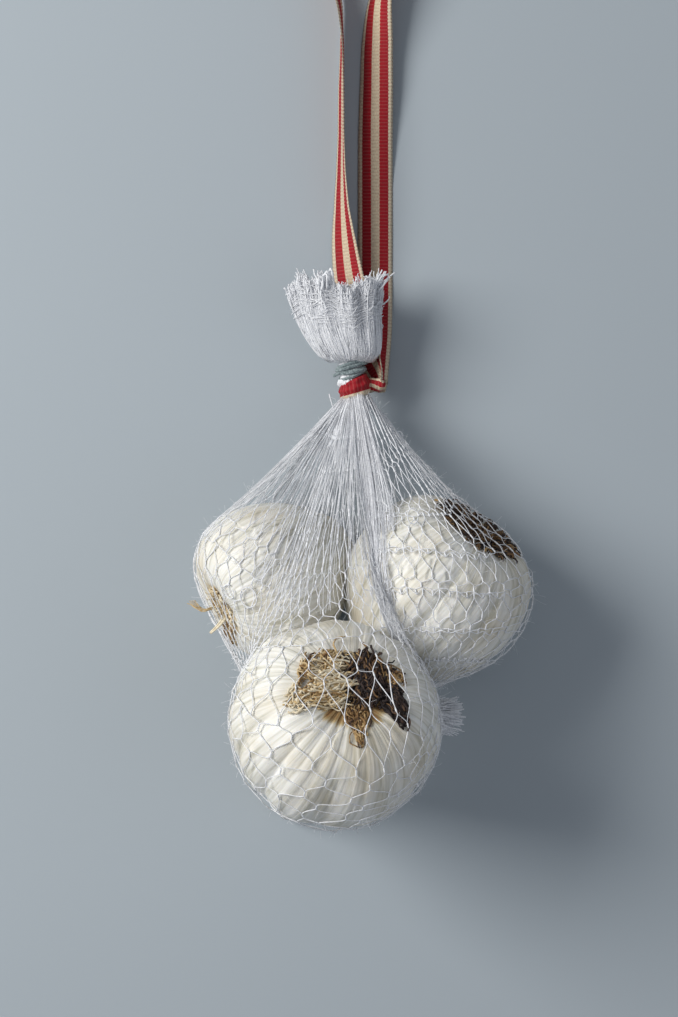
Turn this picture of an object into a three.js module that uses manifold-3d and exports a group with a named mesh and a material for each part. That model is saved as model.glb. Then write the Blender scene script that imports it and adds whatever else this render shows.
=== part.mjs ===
// Three garlic bulbs in a knitted net bag, gathered to a tied neck with a frayed tuft of net
// above it, and a striped hanging ribbon. The bag lies on its back, neck towards +Y.
// Millimetres, +Z up from the surface it lies on, +X to the right, origin under the middle
// of everything but the free ribbon.
import * as THREE from 'three';
import { ConvexGeometry } from 'three/addons/geometries/ConvexGeometry.js';
import { mergeVertices } from 'three/addons/utils/BufferGeometryUtils.js';
import Module from 'manifold-3d';

const wasm = await Module();
wasm.setup();

// ---- driving dimensions ----

// One garlic bulb: its outline from the middle of the root end to the tip of the stem, as
// [distance along the axis, distance from the axis] for a bulb of radius 1.
const OUTLINE = [
  [0.70, 0.00], [0.75, 0.28], [0.77, 0.48], [0.68, 0.72], [0.42, 0.92], [0.05, 1.00],
  [-0.33, 0.92], [-0.66, 0.72], [-0.92, 0.46], [-1.10, 0.28], [-1.24, 0.19],
];
const OUTLINE_STEPS = 20;
const BULB_SIDES = 54;
const BODY_END = 1.0;                    // where the stem starts, in radii from the centre
const STEM_TIP_RADIUS = 0.15;            // of the bulb's radius
const STEM_TIP_ROUND = 0.05;             // of the bulb's radius, the height of its blunt tip
const VALLEY_DEPTH = 0.055;              // of the bulb's radius, between two cloves
const UNEVEN = 0.22;                     // how far the cloves differ in width, radians

// centre, greatest radius, direction that the root end faces, stem length from the centre
// (in radii), turn about the axis, number of outer cloves
const BULBS = {
  front: {
    centre: [-8.5, -48.9, 52.2], radius: 29.0, root: [0.22, 0.48, 0.848],
    stem: 2.10, turn: 0.4, cloves: 9,
  },
  right: {
    centre: [20.9, -11.5, 25.6], radius: 27.0, root: [0.55, 0.79, 0.32],
    stem: 1.13, turn: 1.1, cloves: 8,
  },
  left: {
    centre: [-26.5, -9.3, 21.8], radius: 22.9, root: [-0.83, -0.48, 0.34],
    stem: 1.10, turn: 2.0, cloves: 7,
  },
};

// The gathered neck, the tuft above it and the twisted end of the net
const NECK_FOOT = new THREE.Vector3(-1.9, 43.0, 11.6);
const NECK_TOP = new THREE.Vector3(-4.2, 56.0, 12.6);
const NECK_RADIUS = 4.1;
const NECK_SIDES = 24;
const NECK_OVERLAP = 1.0;
const TUFT_TOP = new THREE.Vector3(-6.6, 77.0, 17.2);
const TUFT_HALF_WIDTH = 15.4;
const TUFT_HALF_DEPTH = 8.2;
const TUFT_PLEATS = 11;
const TUFT_PLEAT_DEPTH = 0.16;           // of its radius
const TUFT_RAGGED = 3.2;
const END_ROOT = new THREE.Vector3(8.0, -46.5, 33.0);
const END_TIP = new THREE.Vector3(27.5, -48.5, 24.0);
const END_ROOT_RADIUS = 6.5;
const END_TIP_RADIUS = 4.4;
const END_RAGGED = 0.25;

// What is cut away so that the bag rests on small flats
const FLOOR_SIZE = 400;
const FLOOR_DEPTH = 20;

// Twine and ribbon
const SEAT_GAP = 0.3;
const TWINE_TURNS = 3;
const TWINE_DIAMETER = 1.5;
const TWINE_MIDDLE = 0.74;               // along the neck
const WRAP_MIDDLE = 0.27;                // along the neck
const WRAP_HEIGHT = 4.9;
const WRAP_THICKNESS = 1.1;
const WRAP_TILT = 0.10;
const RING_SIDES = 32;
const RIBBON_WIDTH = 10.5;
const RIBBON_THICKNESS = 0.6;
const RIBBON_STEPS = 78;

// The ribbon's middle line, from under the neck up the right strand, round the loop and back
// down the left strand: [x, y, lift of its lower edge, turn of its width from level in degrees]
const RIBBON_ROUTE = [
  [2.8, 48.0, 4.3, 0], [3.2, 55.0, 2.9, 4], [3.6, 62.0, 1.6, 3], [3.7, 70.0, 0.7, 1],
  [3.7, 80.0, 0.3, 0], [3.7, 94.0, 0.3, 0], [3.7, 108.0, 0.3, 0], [3.7, 122.0, 0.3, 8],
  [3.9, 136.0, 0.3, 18], [4.1, 149.0, 0.3, 26], [4.9, 162.0, 0.3, 48], [7.6, 173.0, 0.3, 76],
  [11.6, 183.0, 0.3, 90], [14.6, 193.0, 0.3, 90], [14.6, 204.0, 0.3, 90],
  [9.0, 214.5, 0.3, 90], [-2.0, 219.0, 0.3, 90], [-13.2, 214.5, 0.3, 90],
  [-18.8, 204.0, 0.3, 90], [-18.8, 193.0, 0.3, 90], [-15.6, 182.0, 0.3, 88],
  [-10.8, 172.0, 0.3, 82], [-7.2, 162.0, 0.3, 78], [-6.3, 150.0, 0.3, 92],
  [-6.3, 136.0, 0.3, 98], [-6.3, 122.0, 0.3, 100], [-6.3, 110.0, 0.3, 106],
  [-6.1, 100.0, 0.3, 116], [-5.4, 90.0, 0.3, 134], [-4.3, 81.0, 0.5, 148],
  [-2.6, 72.0, 1.0, 160], [-0.6, 64.5, 3.2, 163], [1.6, 57.5, 5.0, 148],
  [3.8, 52.0, 6.2, 122], [4.9, 47.8, 6.8, 106],
];

const mix = THREE.MathUtils.lerp;

// ---- solids ----

// A closed geometry with its shared corners joined, without triangles that have no area
function closed(geometry) {
  geometry.deleteAttribute('normal');
  geometry.deleteAttribute('uv');
  const joined = mergeVertices(geometry, 1e-4);
  const corners = joined.index.array;
  const kept = [];
  for (let i = 0; i < corners.length; i += 3) {
    const [a, b, c] = corners.slice(i, i + 3);
    if (a !== b && b !== c && c !== a) kept.push(a, b, c);
  }
  joined.setIndex(kept);
  return joined;
}

function toSolid(geometry) {
  const joined = closed(geometry);
  return new wasm.Manifold(new wasm.Mesh({
    numProp: 3,
    vertProperties: new Float32Array(joined.attributes.position.array),
    triVerts: new Uint32Array(joined.index.array),
  }));
}

function toGeometry(solid) {
  const mesh = solid.getMesh();
  const geometry = new THREE.BufferGeometry();
  geometry.setAttribute('position', new THREE.BufferAttribute(mesh.vertProperties, 3));
  geometry.setIndex(new THREE.BufferAttribute(mesh.triVerts, 1));
  return geometry;
}

// Moves every corner of a geometry to where the function puts it
function deform(geometry, place) {
  const position = geometry.attributes.position;
  const point = new THREE.Vector3();
  for (let i = 0; i < position.count; i += 1) {
    point.fromBufferAttribute(position, i);
    place(point);
    position.setXYZ(i, point.x, point.y, point.z);
  }
  return geometry;
}

// Turns +Y to the given direction, and moves the origin to the given place
function stand(geometry, direction, place) {
  const turn = new THREE.Quaternion().setFromUnitVectors(
    new THREE.Vector3(0, 1, 0), direction.clone().normalize());
  return geometry.applyQuaternion(turn).translate(place.x, place.y, place.z);
}

// ---- a bulb: a turned teardrop pressed in along the valleys between its cloves ----

function bulbGeometry({ centre, radius, root, stem, turn, cloves }) {
  const outline = new THREE.SplineCurve(
    OUTLINE.map(([along, out]) => new THREE.Vector2(out, along))).getPoints(OUTLINE_STEPS)
    .filter((p) => p.y > STEM_TIP_ROUND - stem);
  outline[0].x = 0;
  outline.push(new THREE.Vector2(STEM_TIP_RADIUS, -stem), new THREE.Vector2(0, -stem));
  const upward = outline.reverse().map((p) => p.multiplyScalar(radius));
  const turned = new THREE.LatheGeometry(upward, BULB_SIDES);
  deform(turned, (p) => {
    const angle = Math.atan2(p.z, p.x) + turn;
    const uneven = angle + UNEVEN * Math.sin(2 * angle + turn);
    const valley = (1 - Math.abs(Math.cos(cloves * uneven / 2))) ** 1.5;
    const along = p.y / radius;
    const body = THREE.MathUtils.smoothstep(along, -1.25, -0.3)
      * (1 - THREE.MathUtils.smoothstep(along, 0.45, 0.8));
    const scale = 1 - VALLEY_DEPTH * valley * body;
    p.x *= scale;
    p.z *= scale;
  });
  return stand(turned, new THREE.Vector3(...root), new THREE.Vector3(...centre));
}

// ---- the net: drawn tight over the bulbs and up to the neck ----

const neckLine = new THREE.Vector3().subVectors(NECK_TOP, NECK_FOOT);
const neckLength = neckLine.length();

function alongNeck(fraction) {
  return new THREE.Vector3().lerpVectors(NECK_FOOT, NECK_TOP, fraction);
}

// The hull of one bulb, without its stem, and the foot of the neck
function tentFrom(bulb) {
  const foot = new THREE.CylinderGeometry(NECK_RADIUS, NECK_RADIUS, NECK_OVERLAP, NECK_SIDES);
  stand(foot, neckLine, NECK_FOOT);
  const centre = new THREE.Vector3(...bulb.centre);
  const root = new THREE.Vector3(...bulb.root).normalize();
  const points = [];
  for (const skin of [foot, bulbGeometry(bulb)].map((g) => closed(g).attributes.position)) {
    for (let i = 0; i < skin.count; i += 1) {
      const point = new THREE.Vector3().fromBufferAttribute(skin, i);
      if (point.clone().sub(centre).dot(root) > -BODY_END * bulb.radius || skin.count < 100) {
        points.push(point);
      }
    }
  }
  return toSolid(new ConvexGeometry(points));
}

function neckAndTuft() {
  const neck = new THREE.CylinderGeometry(
    NECK_RADIUS, NECK_RADIUS, neckLength + 2 * NECK_OVERLAP, NECK_SIDES);
  stand(neck, neckLine, alongNeck(0.5));
  const rise = new THREE.Vector3().subVectors(TUFT_TOP, NECK_TOP);
  const flared = new THREE.CylinderGeometry(1, 1, 1, TUFT_PLEATS * 6, 6);
  const tuft = deform(flared, (p) => {
    const up = p.y + 0.5;
    const angle = Math.atan2(p.z, p.x);
    const rim = Math.hypot(p.x, p.z);
    const flare = Math.sin(up * Math.PI / 2) ** 0.8;
    const pleat = 1 + TUFT_PLEAT_DEPTH * up * Math.sin(TUFT_PLEATS * angle);
    const ragged = TUFT_RAGGED * up * rim
      * (Math.sin(3 * angle + 0.8) + 0.6 * Math.sin(7 * angle + 2.1));
    p.set(
      NECK_TOP.x + rise.x * up + p.x * pleat * mix(NECK_RADIUS, TUFT_HALF_WIDTH, flare),
      NECK_TOP.y + rise.y * up + ragged,
      NECK_TOP.z + rise.z * up + p.z * pleat * mix(NECK_RADIUS, TUFT_HALF_DEPTH, flare),
    );
  });
  return toSolid(neck).add(toSolid(tuft));
}

// The gathered far end of the net: a short cone with a ragged tip
function gatheredEnd() {
  const line = new THREE.Vector3().subVectors(END_TIP, END_ROOT);
  const cone = new THREE.CylinderGeometry(END_TIP_RADIUS, END_ROOT_RADIUS, line.length(), 24, 3);
  deform(cone, (p) => {
    const angle = Math.atan2(p.z, p.x);
    const crease = 1 + 0.12 * Math.sin(6 * angle);
    p.x *= crease;
    p.z *= crease;
    if (p.y > 0.4 * line.length()) p.y += END_RAGGED * Math.sin(3 * angle) * Math.hypot(p.x, p.z);
  });
  const middle = new THREE.Vector3().addVectors(END_ROOT, END_TIP).divideScalar(2);
  return toSolid(stand(cone, line, middle));
}

// Everything that the net holds drawn together, cut flat where it rests
function netBagGeometry() {
  let bag = neckAndTuft().add(gatheredEnd());
  for (const bulb of Object.values(BULBS)) {
    bag = bag.add(toSolid(bulbGeometry(bulb))).add(tentFrom(bulb));
  }
  const below = new THREE.BoxGeometry(FLOOR_SIZE, FLOOR_SIZE, FLOOR_DEPTH);
  below.translate(0, 0, -FLOOR_DEPTH / 2);
  return toGeometry(bag.subtract(toSolid(below)));
}

// ---- twine and ribbon round the neck ----

function twineGeometry() {
  const inner = NECK_RADIUS + SEAT_GAP;
  const height = TWINE_TURNS * TWINE_DIAMETER;
  const section = new THREE.Path();
  section.moveTo(inner, -height / 2);
  section.lineTo(inner + TWINE_DIAMETER / 2, -height / 2);
  for (let turn = 0; turn < TWINE_TURNS; turn += 1) {
    const middle = (turn + 0.5) * TWINE_DIAMETER - height / 2;
    section.absarc(inner + TWINE_DIAMETER / 2, middle, TWINE_DIAMETER / 2,
      -Math.PI / 2, Math.PI / 2, false);
  }
  section.lineTo(inner, height / 2);
  section.lineTo(inner, -height / 2);
  const ring = new THREE.LatheGeometry(section.getPoints(3), RING_SIDES);
  return stand(ring, neckLine, alongNeck(TWINE_MIDDLE));
}

// One turn of the ribbon, leaning up to the right, with a fold standing out along its middle
function wrapGeometry() {
  const inner = NECK_RADIUS + SEAT_GAP + Math.sin(WRAP_TILT) * WRAP_HEIGHT * 0.7;
  const section = [
    [inner, -0.5], [inner + 0.8 * WRAP_THICKNESS, -0.5], [inner + WRAP_THICKNESS, -0.2],
    [inner + 0.85 * WRAP_THICKNESS, 0.0], [inner + WRAP_THICKNESS, 0.25],
    [inner + 0.7 * WRAP_THICKNESS, 0.5], [inner, 0.5], [inner, -0.5],
  ].map(([out, up]) => new THREE.Vector2(out, up * WRAP_HEIGHT));
  const ring = new THREE.LatheGeometry(section, RING_SIDES);
  const leaning = neckLine.clone().applyAxisAngle(new THREE.Vector3(0, 0, 1), WRAP_TILT);
  return stand(ring, leaning, alongNeck(WRAP_MIDDLE));
}

// A flat bar bent along the ribbon's middle line and twisted by its turns
function ribbonGeometry() {
  const up = new THREE.Vector3(0, 0, 1);
  const turns = RIBBON_ROUTE.map((point) => THREE.MathUtils.degToRad(point[3]));
  const line = new THREE.CatmullRomCurve3(RIBBON_ROUTE.map(([x, y, lift], i) => new THREE.Vector3(
    x, y, lift + (RIBBON_WIDTH * Math.abs(Math.sin(turns[i])) + RIBBON_THICKNESS) / 2)),
  false, 'centripetal');
  const bar = new THREE.BoxGeometry(RIBBON_WIDTH, RIBBON_THICKNESS, 1, 1, 1, RIBBON_STEPS);
  return deform(bar, (p) => {
    const along = p.z + 0.5;
    const middle = line.getPoint(along);
    const ahead = line.getTangent(along);
    const place = along * (turns.length - 1);
    const from = Math.min(Math.floor(place), turns.length - 2);
    const turn = mix(turns[from], turns[from + 1], place - from);
    const level = new THREE.Vector3().crossVectors(ahead, up).normalize();
    const normal = new THREE.Vector3().crossVectors(level, ahead);
    const across = level.clone().multiplyScalar(Math.cos(turn))
      .addScaledVector(normal, Math.sin(turn));
    const through = new THREE.Vector3().crossVectors(ahead, across);
    p.copy(middle.addScaledVector(across, p.x).addScaledVector(through, p.y));
  });
}

// ---- the object ----

function piece(name, geometry, color, roughness) {
  const mesh = new THREE.Mesh(
    closed(geometry), new THREE.MeshStandardMaterial({ color, roughness, metalness: 0 }));
  mesh.name = name;
  return mesh;
}

const netBag = piece('net_bag', netBagGeometry(), '#e4e2dd', 0.7);
const twineTie = piece('twine_tie', twineGeometry(), '#7c8a8c', 0.85);
const ribbonWrap = piece('ribbon_wrap', wrapGeometry(), '#a91626', 0.6);
const ribbonLoop = piece('ribbon_loop', ribbonGeometry(), '#b01525', 0.6);

const group = new THREE.Group();
group.add(netBag, twineTie, ribbonWrap);
const extent = new THREE.Box3().setFromObject(group, true);
group.add(ribbonLoop);
group.position.set(
  -(extent.min.x + extent.max.x) / 2, -(extent.min.y + extent.max.y) / 2, -extent.min.z);

export default group;
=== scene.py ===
"""Three garlic bulbs in a knitted net bag, with a tied neck, a frayed tuft and a striped ribbon.

Lengths are millimetres of the object's own drawing: +X right, +Y towards the neck, +Z up from
the surface that the bag lies on. They turn into metres of the shared frame as a mesh is made.
"""

import bpy
import numpy as np
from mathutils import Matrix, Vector


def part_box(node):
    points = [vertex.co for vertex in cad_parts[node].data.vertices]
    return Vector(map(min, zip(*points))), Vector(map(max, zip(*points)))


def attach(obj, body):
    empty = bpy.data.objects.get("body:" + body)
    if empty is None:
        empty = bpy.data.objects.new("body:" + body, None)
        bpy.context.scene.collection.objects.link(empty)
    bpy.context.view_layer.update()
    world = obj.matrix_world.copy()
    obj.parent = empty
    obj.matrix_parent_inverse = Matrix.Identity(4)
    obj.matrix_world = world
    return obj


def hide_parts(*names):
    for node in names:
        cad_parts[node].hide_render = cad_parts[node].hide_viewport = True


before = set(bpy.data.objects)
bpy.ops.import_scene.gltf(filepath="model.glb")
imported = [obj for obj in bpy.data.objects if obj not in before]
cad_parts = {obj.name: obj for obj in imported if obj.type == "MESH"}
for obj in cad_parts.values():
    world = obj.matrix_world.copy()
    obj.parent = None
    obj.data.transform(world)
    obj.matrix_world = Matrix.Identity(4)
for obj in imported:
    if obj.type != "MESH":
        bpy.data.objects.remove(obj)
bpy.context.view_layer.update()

MM = 0.001
TURN = 2 * np.pi

# ---- driving dimensions ----

# A bulb's outline from the middle of its root end to its stem: along the axis and out from it,
# for a bulb of radius 1
OUTLINE = (
    (0.70, 0.00), (0.75, 0.28), (0.77, 0.48), (0.68, 0.72), (0.42, 0.92), (0.05, 1.00),
    (-0.33, 0.92), (-0.66, 0.72), (-0.92, 0.46), (-1.10, 0.28), (-1.24, 0.19),
)
STEM_TIP_RADIUS = 0.15
STEM_TIP_ROUND = 0.05
VALLEY_DEPTH = 0.055
UNEVEN = 0.22
# The relief of a bulb's skin: its veins and what stands up from it or goes in
VEINS = 46
VEIN_HEIGHT = 0.10
CREASE_HEIGHT = 0.11
DENT_DEPTH = 0.20
TORN_SKINS = 3
TORN_SKIN_STEP = 0.26
TORN_EDGE_CURL = 0.22
STEM_WRINKLE_DEPTH = 0.5
# Each bulb's last number sets how dark its root end is coloured: partly the root plate's own
# brown, partly painted shade under and between its roots
BULBS = {
    "front": dict(
        centre=(-8.5, -48.9, 52.2), radius=29.0, root=(0.22, 0.48, 0.848),
        stem=2.10, turn=0.4, cloves=9, seed=11, pile=2.0, root_brown_and_shade=0.6,
    ),
    "right": dict(
        centre=(20.9, -11.5, 25.6), radius=27.0, root=(0.55, 0.79, 0.32),
        stem=1.13, turn=1.1, cloves=8, seed=12, pile=1.1, root_brown_and_shade=0.7,
    ),
    "left": dict(
        centre=(-26.5, -9.3, 21.8), radius=22.9, root=(-0.83, -0.48, 0.34),
        stem=1.10, turn=2.0, cloves=7, seed=13, pile=0.8, root_brown_and_shade=0.35,
    ),
}

NECK_FOOT = np.array((-1.9, 43.0, 11.6))
NECK_TOP = np.array((-4.2, 56.0, 12.6))
NECK_RADIUS = 4.1
NECK_TIED = 3.1               # the neck's radius inside the ties
TUFT_TOP = np.array((-8.0, 77.0, 17.2))
TUFT_HALF_WIDTH = 12.9
TUFT_HALF_DEPTH = 8.2
TUFT_PLEATS = 11
# The ties: their middles as fractions of the neck, and how far they slope up to the right
TWINE_MIDDLE = 0.74
TWINE_TILT = 0.22
TWINE_LIFT = 0.55             # from the neck to the middle of a tight strand
TWINE_PLY_RADIUS = 0.28
TWINE_PLY_OFFSET = 0.26       # from a strand's middle to a ply's
TWINE_PLY_LAY = 2.2           # length of one turn of a strand's plies
# Each strand: start angle, turns, rise at its start and end, slack, phase of its wander
TWINE_STRANDS = (
    (4.2, 3.4, -3.3, 1.7, 0.20, 0.0), (4.4, 2.3, -2.6, 2.3, 0.55, 1.9),
    (0.6, 1.4, 0.6, -0.6, 0.85, 3.4),
)
WRAP_MIDDLE = 0.27
WRAP_TILT = 0.16
WRAP_HEIGHT = 4.9
WRAP_ROLL = 1.35              # how far the gathered ribbon swells from the neck
WRAP_CREASE = 0.20
WRAP_RIPPLE = 0.12

RIBBON_WIDTH = 10.5
RIBBON_THICKNESS = 0.6
RIBBON_STEPS = 1450
RIB_SPACING = 1.05
# x, y, lift of the lower edge, turn of the width from level in degrees
RIBBON_ROUTE = (
    (2.8, 48.0, 4.3, 0), (3.2, 55.0, 2.9, 4), (3.6, 62.0, 1.6, 3), (3.7, 70.0, 0.7, 1),
    (3.7, 80.0, 0.3, 0), (3.7, 94.0, 0.3, 0), (3.7, 108.0, 0.3, 0), (3.7, 122.0, 0.3, 8),
    (3.9, 136.0, 0.3, 18), (4.1, 149.0, 0.3, 26), (4.9, 162.0, 0.3, 48), (7.6, 173.0, 0.3, 76),
    (11.6, 183.0, 0.3, 90), (14.6, 193.0, 0.3, 90), (14.6, 204.0, 0.3, 90),
    (9.0, 214.5, 0.3, 90), (-2.0, 219.0, 0.3, 90), (-13.2, 214.5, 0.3, 90),
    (-18.8, 204.0, 0.3, 90), (-18.8, 193.0, 0.3, 90), (-15.6, 182.0, 0.3, 88),
    (-10.8, 172.0, 0.3, 82), (-7.2, 162.0, 0.3, 78), (-6.3, 150.0, 0.3, 92),
    (-6.3, 136.0, 0.3, 98), (-6.3, 122.0, 0.3, 100), (-6.3, 110.0, 0.3, 106),
    (-6.1, 100.0, 0.3, 116), (-5.4, 90.0, 0.3, 134), (-4.3, 81.0, 0.5, 148),
    (-2.6, 72.0, 1.0, 160), (-0.6, 64.5, 3.2, 163), (1.6, 57.5, 5.0, 148),
    (3.8, 52.0, 6.2, 122), (4.9, 47.8, 6.8, 106),
)


def along_neck(fraction):
    return NECK_FOOT + (NECK_TOP - NECK_FOOT) * fraction


tie_low, tie_high = (np.array(corner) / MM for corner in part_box("twine_tie"))
SHIFT = (tie_low + tie_high) / 2 - along_neck(TWINE_MIDDLE)


# ---- shapes from arrays ----

def unit(vectors):
    """Vectors divided by their lengths."""
    return vectors / np.maximum(np.linalg.norm(vectors, axis=-1, keepdims=True), 1e-9)


def smoothstep(x, low, high):
    """0 below low, 1 above high, and 3t^2 - 2t^3 between them."""
    t = np.clip((x - low) / (high - low), 0, 1)
    return t * t * (3 - 2 * t)


def angle_from(middle, angle):
    """The turn from a middle to an angle, between minus and plus half a turn."""
    return (angle - middle + np.pi) % TURN - np.pi


def around(angle, across, square):
    """Directions at an angle from one direction towards another that is square to it."""
    return np.cos(angle)[..., None] * across + np.sin(angle)[..., None] * square


def axes_about(line):
    """The level direction square to a line, and the direction square to both."""
    across = unit(np.cross(line, (0.0, 0.0, 1.0)))
    return across, np.cross(across, line)


def lifted(points, least):
    """Points raised to a least height above the floor."""
    points[..., 2] = np.maximum(points[..., 2], least)
    return points


def smoothed(lines, times):
    """Lines whose inner points are drawn towards the middle of their neighbours."""
    for _ in range(times):
        lines[:, 1:-1] = (lines[:, :-2] + 2 * lines[:, 1:-1] + lines[:, 2:]) / 4
    return lines


def hermite(t, start, leave, end, arrive):
    """The cubic from start to end whose slopes there are leave and arrive."""
    return ((2 * t**3 - 3 * t**2 + 1) * start + (t**3 - 2 * t**2 + t) * leave
            + (3 * t**2 - 2 * t**3) * end + (t**3 - t**2) * arrive)


def spline(points, steps, power=0.0):
    """A smooth curve through points: each span is a Hermite cubic whose end slopes come from
    the neighbouring points, spaced by their distance to a power (0 uniform, 0.5 centripetal)."""
    points = np.asarray(points, float)
    chain = np.vstack([2 * points[0] - points[1], points, 2 * points[-1] - points[-2]])
    gap = np.linalg.norm(np.diff(chain, axis=0), axis=1)[:, None] ** power
    before, here, after = gap[:-2], gap[1:-1], gap[2:]
    p0, p1, p2, p3 = chain[:-3], chain[1:-2], chain[2:-1], chain[3:]
    leave = ((p1 - p0) / before - (p2 - p0) / (before + here) + (p2 - p1) / here) * here
    arrive = ((p2 - p1) / here - (p3 - p1) / (here + after) + (p3 - p2) / after) * here
    t = np.linspace(0, 1, steps, endpoint=False)[:, None, None]
    line = hermite(t, p1, leave, p2, arrive)
    return np.vstack([line.transpose(1, 0, 2).reshape(-1, points.shape[1]), points[-1:]])


def lengths_along(line):
    """The distance travelled at each point of a line."""
    return np.concatenate([[0], np.cumsum(np.linalg.norm(np.diff(line, axis=0), axis=1))])


def evenly(line, count, measure=None):
    """A line's values at equal distances along it."""
    at = lengths_along(line if measure is None else measure)
    want = np.linspace(0, at[-1], count)
    return np.stack([np.interp(want, at, column) for column in line.T], axis=1)


def new_object(name, data):
    """An object of the scene."""
    made = bpy.data.objects.new(name, data)
    bpy.context.scene.collection.objects.link(made)
    return made


def make_mesh(name, points, faces, material, slot, replaces, fields=None):
    """A piece from its points and arrays of faces, turned outwards by the sign of its volume."""
    fans = [
        np.einsum("ij,ij->i", points[f[:, 0]], np.cross(points[f[:, k]], points[f[:, k + 1]]))
        for f in faces for k in range(1, f.shape[1] - 1)
    ]
    if sum(fan.sum() for fan in fans) < 0:
        faces = [f[:, ::-1] for f in faces]
    mesh = bpy.data.meshes.new(name)
    mesh.vertices.add(len(points))
    mesh.vertices.foreach_set("co", ((points + SHIFT) * MM).astype(np.float32).ravel())
    corners = np.concatenate([f.ravel() for f in faces])
    sizes = np.concatenate([np.full(len(f), f.shape[1]) for f in faces])
    mesh.loops.add(len(corners))
    mesh.loops.foreach_set("vertex_index", corners.astype(np.int32))
    mesh.polygons.add(len(sizes))
    mesh.polygons.foreach_set("loop_start", (np.cumsum(sizes) - sizes).astype(np.int32))
    mesh.polygons.foreach_set("use_smooth", np.full(len(sizes), True))
    mesh.update(calc_edges=True)
    for field, values in (fields or {}).items():
        kind, key = ("FLOAT_VECTOR", "vector") if values.ndim == 2 else ("FLOAT", "value")
        made = mesh.attributes.new(field, kind, "POINT")
        made.data.foreach_set(key, values.astype(np.float32).ravel())
    mesh.materials.append(material)
    piece = new_object(name, mesh)
    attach(piece, "root")
    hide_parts(replaces)
    return piece


def rings_mesh(name, rings, fields=None, **finish):
    """A closed skin through rings of points (rows, columns, 3); each end closes on a pole."""
    rows, columns = rings.shape[:2]
    inner = rings.reshape(-1, 3)
    points = np.vstack([inner, rings[0].mean(0), rings[-1].mean(0)])
    index = np.arange(rows * columns).reshape(rows, columns)
    after = np.roll(index, -1, axis=1)
    sides = np.stack([index[:-1], index[1:], after[1:], after[:-1]], -1).reshape(-1, 4)
    start = np.stack([np.full(columns, rows * columns), index[0], after[0]], -1)
    end = np.stack([np.full(columns, rows * columns + 1), after[-1], index[-1]], -1)
    whole = {}
    for field, values in (fields or {}).items():
        flat = values.reshape(rows * columns, -1)
        flat = np.vstack([flat, values[0].reshape(columns, -1).mean(0),
                          values[-1].reshape(columns, -1).mean(0)])
        whole[field] = flat[:, 0] if flat.shape[1] == 1 else flat
    return make_mesh(name, points, [sides, np.vstack([start, end])], fields=whole, **finish)


def frames_along(lines):
    """For each point of each line (lines, points, 3): the direction ahead and two directions
    square to it, carried along the line without twist."""
    ahead = unit(np.gradient(lines, axis=1))
    least = np.eye(3)[np.argmin(np.abs(ahead[:, 0]), axis=1)]
    side = np.empty_like(ahead)
    now = np.cross(ahead[:, 0], least)
    for step in range(lines.shape[1]):
        now = unit(now - np.sum(now * ahead[:, step], -1, keepdims=True) * ahead[:, step])
        side[:, step] = now
    return ahead, side, np.cross(ahead, side)


def threads_mesh(name, lines, radius, sides=5, plies=0.0, twist=0.0, fields=None, **finish):
    """Threads along lines (threads, points, 3): rings of the radius square to each line, with
    flat ends. With plies, the ring is a two-lobed cord that turns along the thread."""
    lines = np.asarray(lines, float)
    count, steps = lines.shape[:2]
    _, side, up = frames_along(lines)
    angle = np.arange(sides) / sides * TURN
    radius = np.broadcast_to(radius, (count, steps))[..., None]
    if plies:
        gone = np.cumsum(np.linalg.norm(np.diff(lines, axis=1, prepend=lines[:, :1]), axis=-1), 1)
        radius = radius * (1 + plies * np.cos(2 * (angle - gone[..., None] * twist)))
    ring = around(angle, side[:, :, None], up[:, :, None])
    points = (lines[:, :, None] + radius[..., None] * ring).reshape(-1, 3)
    index = np.arange(len(points)).reshape(count, steps, sides)
    after = np.roll(index, -1, axis=2)
    walls = np.stack([index[:, :-1], after[:, :-1], after[:, 1:], index[:, 1:]], -1)
    ends = np.concatenate([index[:, 0, ::-1], index[:, -1]])
    spread = {
        field: np.repeat(np.broadcast_to(values, (count, steps)).ravel(), sides)
        for field, values in (fields or {}).items()
    }
    return make_mesh(name, points, [walls.reshape(-1, 4), ends], fields=spread, **finish)


# ---- finishes ----

def colour(code):
    """An sRGB hex colour as linear RGBA."""
    srgb = np.array([int(code[i:i + 2], 16) / 255 for i in (1, 3, 5)])
    linear = np.where(srgb <= 0.04045, srgb / 12.92, ((srgb + 0.055) / 1.055) ** 2.4)
    return (*linear.tolist(), 1.0)


def add(tree, kind, inputs=None, stops=None, **settings):
    """Adds a node: its settings, its inputs, and a ramp's stops. An input is a value, a socket
    to link, or a node, which stands for its first output."""
    made = tree.nodes.new("ShaderNode" + kind)
    for name, value in settings.items():
        setattr(made, name, value)
    for socket, value in (inputs or {}).items():
        if isinstance(value, bpy.types.Node):
            value = value.outputs[0]
        if isinstance(value, bpy.types.NodeSocket):
            tree.links.new(value, made.inputs[socket])
        else:
            made.inputs[socket].default_value = value
    if stops:
        elements = made.color_ramp.elements
        while len(elements) < len(stops):
            elements.new(0.5)
        for element, (place, code) in zip(elements, stops):
            element.position = place
            element.color = colour(code)
    return made


def new_material(name):
    """A material whose node tree is empty, and that tree."""
    material = bpy.data.materials.new(name)
    material.use_nodes = True
    material.node_tree.nodes.clear()
    return material, material.node_tree


def surfaced(material, inputs):
    """The material with a Principled shader of these inputs as its surface."""
    shader = add(material.node_tree, "BsdfPrincipled", inputs)
    add(material.node_tree, "OutputMaterial", {"Surface": shader})
    return material


def fine_fibres(tree, per_mm, detail, depth, strength):
    """Fibres fixed to the object: their noise, and the relief that it makes to a depth."""
    place = add(tree, "TexCoord").outputs["Object"]
    noise = add(tree, "TexNoise", {"Vector": place, "Scale": per_mm / MM, "Detail": detail})
    relief = add(tree, "Bump", {"Height": noise, "Distance": depth * MM, "Strength": strength})
    return noise, relief


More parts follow.
